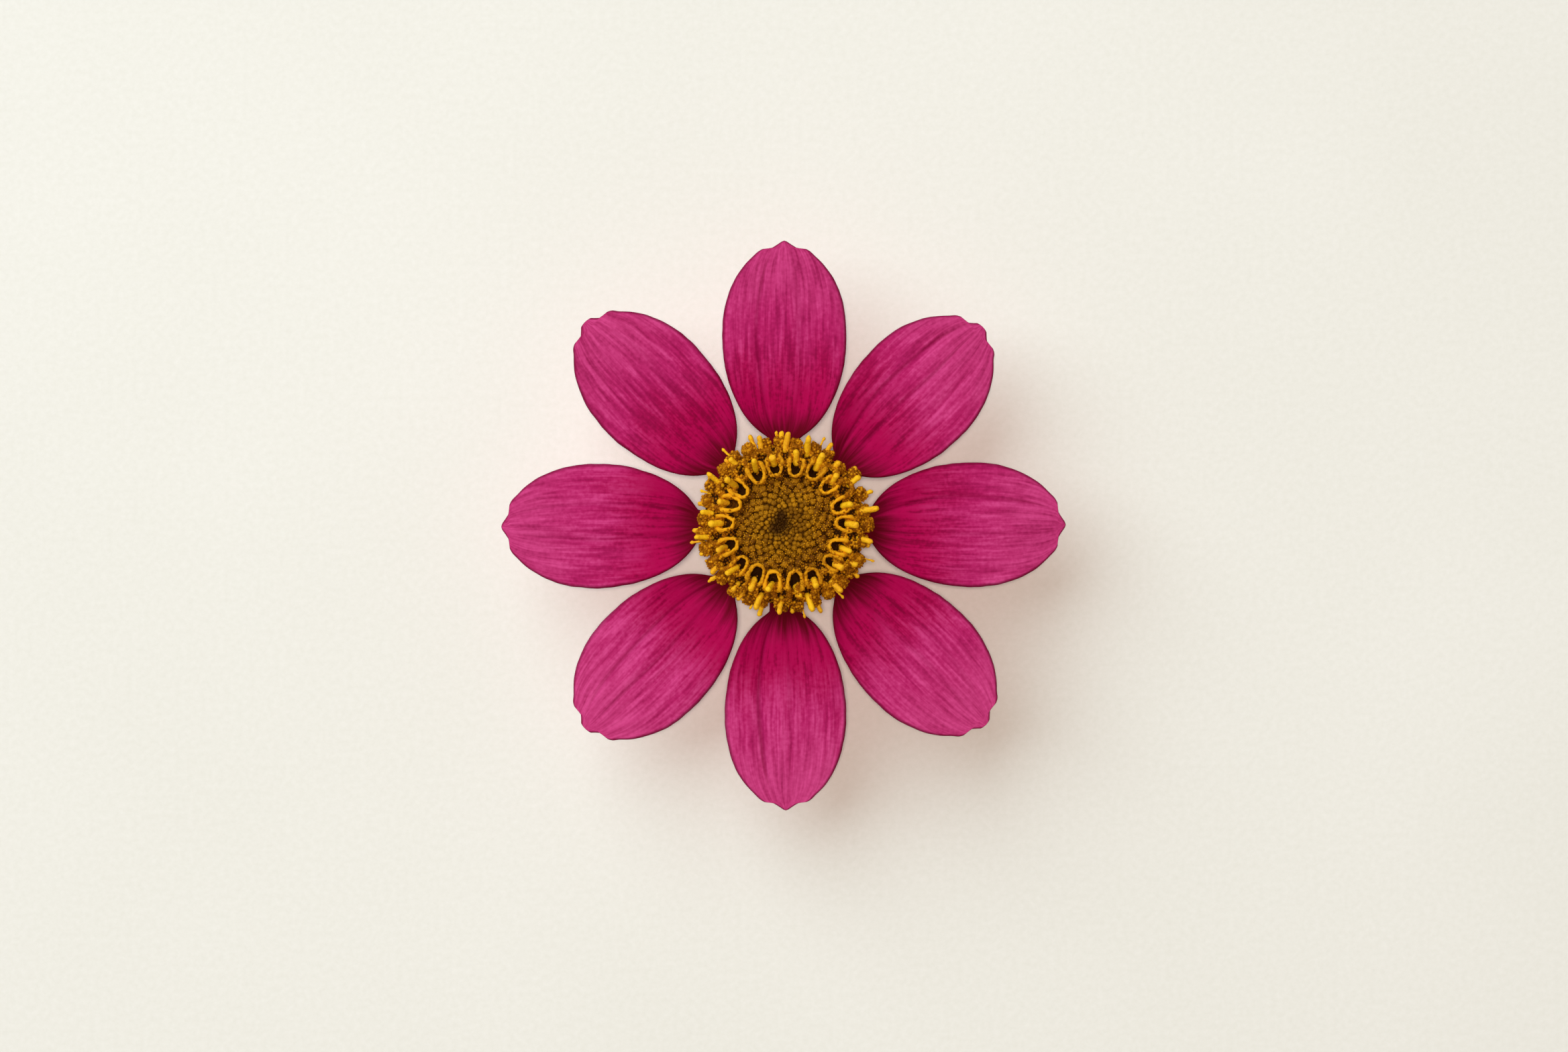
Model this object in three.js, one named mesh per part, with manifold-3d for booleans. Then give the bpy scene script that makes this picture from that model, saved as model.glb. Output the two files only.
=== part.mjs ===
// Zinnia flower head, single form, picked with a short stub of stem and lying face up on the cut.
// Millimetres, +Z up. The origin is the centre of the stem's cut face, on the flower's axis.
import * as THREE from "three";
import { mergeVertices } from "three/addons/utils/BufferGeometryUtils.js";
import Module from "manifold-3d";

const wasm = await Module();
wasm.setup();

// ---- Driving dimensions ----
const FLOWER_RADIUS = 30; // axis to petal tip
const BLADE_THICKNESS = 0.6; // of petals and bracts
const CLEARANCE = 0.3; // between neighbouring pieces
const STEM_RADIUS = 2.6;
const STEM_HEIGHT = 3;
const CUP_BASE_RADIUS = 2.9;
const CUP_RIM_RADIUS = 6.45;
const CUP_RIM_HEIGHT = 10.2;
const CUP_POCKET_RADIUS = 5.7; // inside the cup's wall
const CUP_FLOOR_HEIGHT = 7.9;
const DISC_NECK_RADIUS = 4.4; // the disc's foot, inside the ring of petal claws
const BUD_FIELD_RADIUS = 4.6;

const CUP_BASE_HEIGHT = STEM_HEIGHT + CLEARANCE;
const DISC_FOOT_HEIGHT = CUP_FLOOR_HEIGHT + CLEARANCE;
const TURN = 2 * Math.PI;
const GOLDEN_ANGLE = Math.PI * (3 - Math.sqrt(5));
const ROUND_SEGMENTS = 24; // round the stem and the disc

const finish = (color, roughness) => new THREE.MeshStandardMaterial({ color, roughness, metalness: 0 });
const MATERIALS = {
  petal: finish(0xb02661, 0.6),
  floret: finish(0xd1930f, 0.75),
  bud: finish(0x7a5208, 0.8),
  bract: finish(0x6f8a3c, 0.7),
  stem: finish(0x7d9a4a, 0.7),
};

// ---- Small tools ----

const degrees = (angle) => THREE.MathUtils.degToRad(angle);

/** A repeatable source of numbers from -0.5 to 0.5. */
function seededJitter(seed) {
  const modulus = 2 ** 32;
  let state = seed;
  return () => {
    state = (state * 1664525 + 1013904223) % modulus;
    return state / modulus - 0.5;
  };
}

/** The solid that a closed geometry bounds. */
function solidOf(geometry) {
  const bare = geometry.index ? geometry.toNonIndexed() : geometry.clone();
  bare.deleteAttribute("normal");
  bare.deleteAttribute("uv");
  const merged = mergeVertices(bare, 1e-4);
  return new wasm.Manifold(
    new wasm.Mesh({
      numProp: 3,
      vertProperties: merged.attributes.position.array,
      triVerts: new Uint32Array(merged.index.array),
    }),
  );
}

/** One geometry that fuses several closed ones, with any hollow that they seal between them filled. */
function fuse(geometries) {
  const shells = wasm.Manifold.union(geometries.map(solidOf)).decompose();
  const outer = shells.reduce((largest, shell) => (shell.volume() > largest.volume() ? shell : largest));
  const mesh = outer.getMesh();
  return new THREE.BufferGeometry()
    .setAttribute("position", new THREE.BufferAttribute(new Float32Array(mesh.vertProperties), 3))
    .setIndex(new THREE.BufferAttribute(new Uint32Array(mesh.triVerts), 1));
}

/**
 * A solid turned about +Z whose section may change as it turns. sectionAt(turn), for turn from 0 to 1, gives
 * [radius, height] pairs that run up the outside, from axis to axis.
 */
function turned(sectionAt, segments) {
  const length = sectionAt(0).length;
  const geometry = new THREE.LatheGeometry(Array(length).fill(new THREE.Vector2(1, 0)), segments);
  const position = geometry.attributes.position;
  for (let i = 0; i <= segments; i++) {
    const heading = (TURN * i) / segments;
    sectionAt(i / segments).forEach(([radius, height], j) => {
      position.setXYZ(i * length + j, radius * Math.cos(heading), radius * Math.sin(heading), height);
    });
  }
  return geometry;
}

/**
 * A thin closed blade. place(line, station, face) gives the point where a line that runs along the blade
 * meets a station, with face 1 on the upper skin or -1 on the lower one. Both skins are split into triangles
 * along the same diagonals.
 */
function blade(lines, stations, place) {
  const points = [];
  const faces = [];
  const [columns, rows] = [lines.length - 1, stations.length - 1];
  const top = (column, row) => 2 * (row * lines.length + column);
  const under = (column, row) => top(column, row) + 1;
  const quad = (a, b, c, d) => faces.push(a, b, c, a, c, d);
  for (const station of stations) {
    for (const line of lines) {
      points.push(...place(line, station, 1).toArray(), ...place(line, station, -1).toArray());
    }
  }
  for (let row = 0; row < rows; row++) {
    const next = row + 1;
    for (let column = 0; column < columns; column++) {
      const corners = [[column, row], [column, next], [column + 1, next], [column + 1, row]];
      const [a, b, c, d] = corners.map(([c, r]) => under(c, r));
      quad(...corners.map(([c, r]) => top(c, r)));
      faces.push(a, c, b, a, d, c);
    }
    quad(top(0, row), under(0, row), under(0, next), top(0, next));
    quad(top(columns, row), top(columns, next), under(columns, next), under(columns, row));
  }
  for (let column = 0; column < columns; column++) {
    const next = column + 1;
    quad(top(column, 0), top(next, 0), under(next, 0), under(column, 0));
    quad(top(column, rows), under(column, rows), under(next, rows), top(next, rows));
  }
  return new THREE.BufferGeometry()
    .setAttribute("position", new THREE.Float32BufferAttribute(points, 3))
    .setIndex(faces);
}

/** Moves a geometry whose own axis is +Z to a place beside the flower's axis, leaning outwards by lean. */
function leaned(geometry, radius, height, heading, lean) {
  const lift = new THREE.Matrix4().makeRotationY(lean).setPosition(radius, 0, height);
  return geometry.applyMatrix4(lift).applyMatrix4(new THREE.Matrix4().makeRotationZ(heading));
}

// ---- Petals ----

const CLAW = { radius: 5.05, root: 8.5, top: 10.3, bend: 1.25, halfWidth: 1.6 };
const LAMINA_START = { radius: CLAW.radius + CLAW.bend, height: CLAW.top + CLAW.bend };
const LAMINA_RISE = 2.1; // how high the blade would climb if it kept its first slope
const LAMINA_ROWS = 14;
const TIP_CROWDING = 1.8; // the rows of faces lie closer together towards the tip
const BEND_START = 0.08; // share of the blade's rows that the upright claw takes
const BEND_END = 0.16; // share where the bend over the cup's rim ends and the lamina begins
const CROSS_BOW = -0.012; // how the lamina is bowed from edge to edge, as one over a radius
const OUTLINE = {
  widest: 20.2, // radius where a petal is widest
  baseReach: 11.4, // from there inwards to where its ellipse would close
  shoulder: 29.5, // radius where its rounded end would close
  roundness: 2.1, // power of the rounded end, where 2 is an ellipse
  nubStart: 29, // the small point at the tip
  nubHalfWidth: 1.15,
  bluntHalfWidth: 0.15,
};
const FOLDS = { begin: 8, full: 13, fading: 26, end: 29.5 }; // radii between which the folds come and go
// Across the blade, from edge to edge: each line of points and how far it is raised. Two folds run along it.
const PETAL_LINES = [
  { across: -1, raised: -0.05 },
  { across: -0.72, raised: 0.1 },
  { across: -0.42, raised: -0.16 },
  { across: 0, raised: 0.13 },
  { across: 0.42, raised: -0.16 },
  { across: 0.72, raised: 0.1 },
  { across: 1, raised: -0.05 },
];

// Each petal as it grew: its heading, its length, its width and how its tip stands.
const PETALS = [
  { heading: 0, length: 29.7, halfWidth: 6.6, tipRise: 0.2 },
  { heading: 44.9, length: 29.6, halfWidth: 6.55, tipRise: -0.3 },
  { heading: 90, length: 30.0, halfWidth: 6.6, tipRise: 0.0 },
  { heading: 134.5, length: 30.0, halfWidth: 6.55, tipRise: 0.4 },
  { heading: 180.4, length: 29.9, halfWidth: 6.6, tipRise: -0.2 },
  { heading: 225.7, length: 30.1, halfWidth: 6.65, tipRise: 0.3 },
  { heading: 270.3, length: 30.2, halfWidth: 6.45, tipRise: -0.4 },
  { heading: 315.2, length: 30.0, halfWidth: 6.55, tipRise: 0.1 },
];

/** Half the petal's width at a radius: an ellipse that narrows to the claw, with a small nub at the tip. */
function petalHalfWidth(radius, petal) {
  const place = (radius * FLOWER_RADIUS) / petal.length;
  if (place <= OUTLINE.widest) {
    const inward = Math.min(1, (OUTLINE.widest - place) / OUTLINE.baseReach);
    const ellipse = petal.halfWidth * Math.sqrt(1 - inward * inward);
    return Math.pow(Math.pow(ellipse, 4) + Math.pow(CLAW.halfWidth, 4), 1 / 4);
  }
  const outward = Math.min(1, (place - OUTLINE.widest) / (OUTLINE.shoulder - OUTLINE.widest));
  const body = petal.halfWidth * Math.pow(1 - Math.pow(outward, OUTLINE.roundness), 1 / OUTLINE.roundness);
  const point = THREE.MathUtils.clamp((place - OUTLINE.nubStart) / (FLOWER_RADIUS - OUTLINE.nubStart), 0, 1);
  const nub = OUTLINE.nubHalfWidth * Math.sqrt(1 - point * point);
  return Math.max(body, nub, OUTLINE.bluntHalfWidth);
}

/** The petal's spine: up out of the cup, over its rim, and out along a low arch. */
function petalSpine(along, petal) {
  if (along < BEND_START) {
    const height = CLAW.root + (CLAW.top - CLAW.root) * (along / BEND_START);
    return { radius: CLAW.radius, height, pitch: Math.PI / 2 };
  }
  const span = petal.length - LAMINA_START.radius;
  if (along < BEND_END) {
    const turn = (along - BEND_START) / (BEND_END - BEND_START);
    const angle = turn * (Math.PI / 2);
    const radius = LAMINA_START.radius - CLAW.bend * Math.cos(angle);
    const height = CLAW.top + CLAW.bend * Math.sin(angle);
    return { radius, height, pitch: THREE.MathUtils.lerp(Math.PI / 2, Math.atan(LAMINA_RISE / span), turn) };
  }
  const share = (along - BEND_END) / (1 - BEND_END);
  const fall = LAMINA_RISE - petal.tipRise;
  const radius = LAMINA_START.radius + share * span;
  const height = LAMINA_START.height + LAMINA_RISE * share - fall * share * share;
  return { radius, height, pitch: Math.atan((LAMINA_RISE - 2 * fall * share) / span) };
}

/** How strongly the blade is bowed across: round the disc at its claw, a little downwards further out. */
function petalBow(radius) {
  const out = THREE.MathUtils.smoothstep(radius, CLAW.radius, OUTLINE.widest);
  return THREE.MathUtils.lerp(1 / CLAW.radius, CROSS_BOW, Math.sqrt(out));
}

/** Where the rows of a petal's faces lie, from 0 at the claw's root to 1 at the tip. */
function petalStations() {
  const claw = [0, BEND_START, 0.1, 0.13, BEND_END];
  const lamina = Array.from({ length: LAMINA_ROWS }, (_, i) => {
    const share = 1 - Math.pow(1 - (i + 1) / LAMINA_ROWS, TIP_CROWDING);
    return THREE.MathUtils.lerp(BEND_END, 1, share);
  });
  return [...claw, ...lamina];
}

function petalGeometry(petal) {
  const { smoothstep } = THREE.MathUtils;
  return blade(PETAL_LINES, petalStations(), ({ across, raised }, along, face) => {
    const { radius, height, pitch } = petalSpine(along, petal);
    const sideways = across * petalHalfWidth(radius, petal);
    const folded = smoothstep(radius, FOLDS.begin, FOLDS.full) - smoothstep(radius, FOLDS.fading, FOLDS.end);
    const bow = (petalBow(radius) * sideways * sideways) / 2;
    const lift = bow + raised * folded + (face * BLADE_THICKNESS) / 2;
    return new THREE.Vector3(radius - lift * Math.sin(pitch), sideways, height + lift * Math.cos(pitch));
  });
}

// ---- Involucre: the green cup of overlapping bracts under the petals ----

const BRACT = {
  perWhorl: 11,
  columns: 4, // of faces across a bract
  standsOff: 0.8, // how far its tip stands off the cup in the middle
  edgeShare: 0.45, // how much of that is left at its edges
  middleShare: 0.6, // and halfway up
  thickness: 0.4, // at its tip
  lip: 0.1, // how much higher the inside of its tip is
  gap: 0.35, // depth of the slit behind its tip
  notch: 1.3, // how far its edges drop from its tip
};
const BRACT_TIP_HEIGHTS = [5.9, 8.3, 10.8]; // the three whorls, from the stem up, each half a bract round
const SLIT_DEPTH = 0.05; // how far outside the cup's wall a slit ends
const CUP_RIM_INSIDE = 6.05; // where the top whorl's bracts leave the rim

/** The cup's outer radius at a height: a rounded bowl on the stem. */
function cupRadius(height) {
  const share = THREE.MathUtils.clamp((height - CUP_BASE_HEIGHT) / (CUP_RIM_HEIGHT - CUP_BASE_HEIGHT), 0, 1);
  return CUP_BASE_RADIUS + (CUP_RIM_RADIUS - CUP_BASE_RADIUS) * Math.sqrt(1 - (1 - share) * (1 - share));
}

/** The cup's section at a turn: up over the tip of each whorl's bract, then down into the pocket. */
function involucreSection(turn) {
  const section = [[0, CUP_BASE_HEIGHT], [CUP_BASE_RADIUS, CUP_BASE_HEIGHT]];
  let from = CUP_BASE_HEIGHT;
  BRACT_TIP_HEIGHTS.forEach((tipHeight, whorl) => {
    const place = turn * BRACT.perWhorl + whorl / 2;
    const across = 2 * Math.abs(place - Math.round(place));
    const tip = tipHeight - BRACT.notch * across * across;
    const standsOff = BRACT.standsOff * THREE.MathUtils.lerp(1, BRACT.edgeShare, across * across);
    const middle = (from + tip) / 2;
    const isTop = whorl === BRACT_TIP_HEIGHTS.length - 1;
    section.push([cupRadius(middle) + BRACT.middleShare * standsOff, middle]);
    section.push([cupRadius(tip) + standsOff, tip]);
    section.push([cupRadius(tip) + standsOff - BRACT.thickness, tip + BRACT.lip]);
    section.push(isTop ? [CUP_RIM_INSIDE, CUP_RIM_HEIGHT] : [cupRadius(tip) + SLIT_DEPTH, tip - BRACT.gap]);
    from = tip - BRACT.gap;
  });
  section.push([CUP_POCKET_RADIUS, CUP_RIM_HEIGHT], [CUP_POCKET_RADIUS, CUP_FLOOR_HEIGHT], [0, CUP_FLOOR_HEIGHT]);
  return section;
}

const involucreGeometry = () => turned(involucreSection, BRACT.perWhorl * BRACT.columns);

// ---- Disc: open florets in a ring round a field of buds ----

// The body that the florets grow from: its neck stands inside the ring of claws, its brim lies over the petals,
// and the buds fill the bowl on top.
const BOWL_FLOOR_HEIGHT = 13;
const DISC_SECTION = [
  [0, DISC_FOOT_HEIGHT],
  [DISC_NECK_RADIUS, DISC_FOOT_HEIGHT],
  [DISC_NECK_RADIUS, CLAW.top],
  [4.75, 11.85],
  [6.3, 12.55],
  [7.9, 12.9],
  [7.9, 13.3],
  [7.0, 14.0],
  [5.9, 14.4],
  [5.1, 14.2],
  [BUD_FIELD_RADIUS + CLEARANCE, BOWL_FLOOR_HEIGHT],
  [0, BOWL_FLOOR_HEIGHT],
];
// Each row of open florets: where their roots sit, how far they lean out (degrees) and their size, with the
// rod of anthers in each mouth, which leans further out.
const FLORET_ROWS = [
  {
    radius: 5.4,
    height: 13.7,
    lean: 12,
    tall: 2.2,
    lobes: 0.98,
    phase: 0,
    rod: { radius: 0.3, length: 1.3, reach: 0.35, lean: 26 },
  },
  {
    radius: 6.3,
    height: 13.3,
    lean: 34,
    tall: 2.0,
    lobes: 0.98,
    phase: 0.5,
    rod: { radius: 0.28, length: 1.2, reach: 0.25, lean: 18 },
  },
  {
    radius: 7.2,
    height: 13.0,
    lean: 62,
    tall: 1.5,
    lobes: 0.9,
    phase: 0,
    rod: { radius: 0.2, length: 1.2, reach: 0.1, lean: 8 },
  },
];
const FLORETS_PER_ROW = 18;
const FLORET_SEED = 7;
const SCATTER = { place: 0.16, lean: 8, radius: 0.2, rodLean: 14 }; // how much florets differ from their row
const COROLLA = { sides: 10, tube: 0.42, throat: 0.3, notch: 0.66, notchDrop: 0.15, pit: 0.75 };
const ROD_SIDES = 5;
const ROD_SEAT = { back: 0.35, down: 0.45 }; // how far a rod starts behind and below the middle of its mouth

/** An open floret on +Z: a narrow tube that flares into five lobes round a pit. */
function corollaGeometry({ tall, lobes }) {
  return turned((turn) => {
    const isLobe = Math.round(turn * COROLLA.sides) % 2 === 0;
    const rim = isLobe ? [lobes, tall] : [COROLLA.notch * lobes, tall - COROLLA.notchDrop];
    return [[0, 0], [COROLLA.tube, COROLLA.throat], rim, [0, tall - COROLLA.pit]];
  }, COROLLA.sides);
}

function rodGeometry({ radius, length }) {
  return new THREE.CapsuleGeometry(radius, length, 1, ROD_SIDES, 1)
    .rotateX(Math.PI / 2)
    .translate(0, 0, length / 2);
}

function discFloretsGeometry() {
  const jitter = seededJitter(FLORET_SEED);
  const florets = FLORET_ROWS.flatMap((row) =>
    Array.from({ length: FLORETS_PER_ROW }, (_, i) => {
      const heading = (TURN * (i + row.phase + SCATTER.place * jitter())) / FLORETS_PER_ROW;
      const lean = degrees(row.lean + SCATTER.lean * jitter());
      const radius = row.radius + SCATTER.radius * jitter();
      const rodLean = lean + degrees(row.rod.lean + SCATTER.rodLean * jitter());
      const rodRadius = radius + row.tall * Math.sin(lean) - ROD_SEAT.back * Math.sin(rodLean) + row.rod.reach;
      const rodHeight = row.height + row.tall * Math.cos(lean) - ROD_SEAT.down;
      return [
        leaned(corollaGeometry(row), radius, row.height, heading, lean),
        leaned(rodGeometry(row.rod), rodRadius, rodHeight, heading, rodLean),
      ];
    }).flat(),
  );
  return fuse([turned(() => DISC_SECTION, ROUND_SEGMENTS), ...florets]);
}

const BUDS = { count: 75, radius: 0.45, innerShare: 0.8, outerShare: 1.05, sit: 0.12 };
const BUD_FIELD = { base: BOWL_FLOOR_HEIGHT + CLEARANCE, edge: 14, top: 15.3, coreShare: 0.97 };
const DIMPLE = { depth: 0.35, radius: 0.9 };

/** The height of the bud field at a radius: a low dome with a dimple at its centre. */
function budFieldHeight(radius) {
  const share = radius / BUD_FIELD_RADIUS;
  const dimple = DIMPLE.depth * Math.exp(-((radius / DIMPLE.radius) ** 2));
  return BUD_FIELD.edge + (BUD_FIELD.top - BUD_FIELD.edge) * (1 - share * share) - dimple;
}

function discBudsGeometry() {
  const coreRadius = BUD_FIELD.coreShare * BUD_FIELD_RADIUS;
  const dome = [1, 0.75, 0.5, 0.25, 0].map((share) => [share * coreRadius, budFieldHeight(share * coreRadius)]);
  const core = turned(() => [[0, BUD_FIELD.base], [coreRadius, BUD_FIELD.base], ...dome], ROUND_SEGMENTS);
  const spacing = (BUD_FIELD_RADIUS - BUDS.radius) / Math.sqrt(BUDS.count);
  const buds = Array.from({ length: BUDS.count }, (_, i) => {
    const radius = spacing * Math.sqrt(i + 0.5);
    const heading = i * GOLDEN_ANGLE;
    const growth = THREE.MathUtils.lerp(BUDS.innerShare, BUDS.outerShare, radius / BUD_FIELD_RADIUS);
    const bud = new THREE.IcosahedronGeometry(BUDS.radius * growth, 0);
    return leaned(bud, radius, budFieldHeight(radius) + BUDS.sit, heading, 0);
  });
  return fuse([core, ...buds]);
}

// ---- Stem ----

/** The stub of stem, which swells a little towards the cup. */
function stemGeometry() {
  const swelling = [[STEM_RADIUS, STEM_HEIGHT / 2], [STEM_RADIUS + 0.25, STEM_HEIGHT]];
  return turned(() => [[0, 0], [STEM_RADIUS, 0], ...swelling, [0, STEM_HEIGHT]], ROUND_SEGMENTS);
}

// ---- The flower ----

function piece(name, geometry, material) {
  const mesh = new THREE.Mesh(geometry, material);
  mesh.name = name;
  return mesh;
}

function flower() {
  const head = new THREE.Group();
  head.add(piece("stem", stemGeometry(), MATERIALS.stem));
  head.add(piece("involucre", involucreGeometry(), MATERIALS.bract));
  head.add(piece("disc_florets", discFloretsGeometry(), MATERIALS.floret));
  head.add(piece("disc_buds", discBudsGeometry(), MATERIALS.bud));
  PETALS.forEach((petal, i) => {
    const mesh = piece(`petal_${i + 1}`, petalGeometry(petal), MATERIALS.petal);
    mesh.rotation.z = degrees(petal.heading);
    head.add(mesh);
  });
  return head;
}

export default flower();
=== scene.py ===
"""Zinnia flower head: the looks of every piece, built round its solids and laid out as an add-on.

Lengths are in metres. Each operator makes one piece, or one group of like pieces, where the frame's nodes
are.
"""

import math

import bpy
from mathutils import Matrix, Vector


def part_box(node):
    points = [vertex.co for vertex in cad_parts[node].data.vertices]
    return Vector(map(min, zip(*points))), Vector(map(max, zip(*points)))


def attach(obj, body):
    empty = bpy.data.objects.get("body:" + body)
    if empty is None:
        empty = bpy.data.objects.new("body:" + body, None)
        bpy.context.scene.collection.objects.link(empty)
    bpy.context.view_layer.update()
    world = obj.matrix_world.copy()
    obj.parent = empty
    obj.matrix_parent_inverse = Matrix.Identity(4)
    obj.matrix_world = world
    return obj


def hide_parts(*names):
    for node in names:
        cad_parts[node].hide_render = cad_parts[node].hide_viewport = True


bl_info = {
    "name": "Zinnia flower head",
    "version": (1, 0, 0),
    "blender": (4, 5, 0),
    "location": "3D View > Sidebar > Zinnia",
    "description": "Builds a zinnia flower head: petals, florets, buds, bracts and stem",
    "category": "Add Mesh",
}

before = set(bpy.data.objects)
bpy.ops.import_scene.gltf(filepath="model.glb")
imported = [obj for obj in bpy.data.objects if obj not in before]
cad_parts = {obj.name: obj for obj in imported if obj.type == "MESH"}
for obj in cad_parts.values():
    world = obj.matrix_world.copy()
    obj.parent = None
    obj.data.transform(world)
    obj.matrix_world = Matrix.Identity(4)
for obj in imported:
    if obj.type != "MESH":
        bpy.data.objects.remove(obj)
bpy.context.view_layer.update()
BODY = "root"

MM = 0.001
TURN = 2 * math.pi
GOLDEN_ANGLE = math.pi * (3 - math.sqrt(5))
MERGE_DISTANCE = 0.0005 * MM  # closes seams and poles
MOST_BEADS = 40 / MM**2  # on a square metre
BEAD_SIZES = (0.55, 1.45)  # the smallest and largest, as a share of their radius


def linear(red, green, blue):
    """A colour as Blender's shaders hold it, from its screen values of 0 to 255."""

    def channel(value):
        share = value / 255
        return share / 12.92 if share <= 0.04045 else ((share + 0.055) / 1.055) ** 2.4

    return (channel(red), channel(green), channel(blue))


def colour_setting(name, description, *screen_values):
    default = linear(*screen_values)
    return bpy.props.FloatVectorProperty(
        name=name, description=description, default=default, subtype="COLOR"
    )


def length_setting(name, description, default):
    return bpy.props.FloatProperty(
        name=name, description=description, default=default, unit="LENGTH", precision=5
    )


# ---- Node graphs ----


def arithmetic(operation, swapped=False):
    """A method that joins a field and another value with one Math node."""

    def method(self, other):
        pair = (other, self) if swapped else (self, other)
        return self.graph.math(operation, *pair)

    return method


def one_node(kind, *inputs, **settings):
    """A method that feeds its values, in order, to the inputs of one node and gives what comes out."""

    def method(self, *values):
        return self.field(kind, dict(zip(inputs, values)), **settings)

    return method


class Field:
    """What a node gives: arithmetic on it adds Math nodes to its graph."""

    def __init__(self, graph, socket):
        self.graph = graph
        self.socket = socket

    __add__ = arithmetic("ADD")
    __radd__ = arithmetic("ADD", swapped=True)
    __sub__ = arithmetic("SUBTRACT")
    __rsub__ = arithmetic("SUBTRACT", swapped=True)
    __mul__ = arithmetic("MULTIPLY")
    __rmul__ = arithmetic("MULTIPLY", swapped=True)
    __truediv__ = arithmetic("DIVIDE")
    __rtruediv__ = arithmetic("DIVIDE", swapped=True)
    __pow__ = arithmetic("POWER")


class Graph:
    """A node tree under construction, for a shape or for a material."""

    def __init__(self, tree):
        self.tree = tree

    def node(self, kind, inputs=None, **settings):
        node = self.tree.nodes.new(kind)
        for name, value in settings.items():
            setattr(node, name, value)
        for key, value in (inputs or {}).items():
            if isinstance(value, Field):
                self.tree.links.new(value.socket, node.inputs[key])
            else:
                node.inputs[key].default_value = value
        return node

    def field(self, kind, inputs=None, output=0, **settings):
        return Field(self, self.node(kind, inputs, **settings).outputs[output])

    def math(self, operation, *values):
        return self.field("ShaderNodeMath", dict(enumerate(values)), operation=operation)

    vector = one_node("ShaderNodeCombineXYZ", 0, 1, 2)

    def polar(self, radius, heading, height):
        return self.vector(radius * cos(heading), radius * sin(heading), height)

    def parts(self, vector):
        """The three numbers in a vector."""
        node = self.node("ShaderNodeSeparateXYZ", {0: vector})
        return [Field(self, socket) for socket in node.outputs]

    def noise(self, vector, scale=1.0, detail=2.0, roughness=0.5):
        """Soft noise round 0.5."""
        inputs = {"Vector": vector, "Scale": scale, "Detail": detail, "Roughness": roughness}
        return self.field("ShaderNodeTexNoise", inputs)

    def sway(self, x, y, z, detail=1.0):
        """Soft noise round 0, from -0.5 to 0.5."""
        return self.noise(self.vector(x, y, z), detail=detail) - 0.5


def function(operation):
    """A function that changes a field with one Math node."""

    def changed(value):
        return value.graph.math(operation, value)

    return changed


sin = function("SINE")
cos = function("COSINE")
root = function("SQRT")
unsigned = function("ABSOLUTE")


def clamp(value, low=0.0, high=1.0):
    return value.graph.field("ShaderNodeClamp", {0: value, 1: low, 2: high})


def smooth(value, start, end):
    """Rises smoothly from 0 where value is start to 1 where it is end."""
    inputs = {"Value": value, "From Min": start, "From Max": end}
    return value.graph.field("ShaderNodeMapRange", inputs, interpolation_type="SMOOTHSTEP")


def between(value, start, full, last, end):
    """Rises smoothly from 0 at start to 1 at full, and falls from 1 at last to 0 at end."""
    return smooth(value, start, full) * smooth(value, end, last)


def stages(share, *ends):
    """For each stage of a share of the way, a number that goes from 0 to 1 during it."""
    starts = (0.0, *ends[:-1])
    return [clamp((share - start) / (end - start)) for start, end in zip(starts, ends)]


def blend(share, first, second):
    return first + (second - first) * share


def arc(value):
    """A quarter circle: 1 where value is 0, falling to 0 where it is 1."""
    return root(1.0 - value * value)


def bell(value, centre, width):
    """A bump of height 1 round centre."""
    offset = (value - centre) / width
    return value.graph.math("EXPONENT", offset * offset * -1.0)


# ---- Shapes ----

SOCKET_KINDS = {
    "length": ("NodeSocketFloat", "DISTANCE"),
    "angle": ("NodeSocketFloat", "ANGLE"),
    "number": ("NodeSocketFloat", "NONE"),
    "count": ("NodeSocketInt", "NONE"),
}


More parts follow.
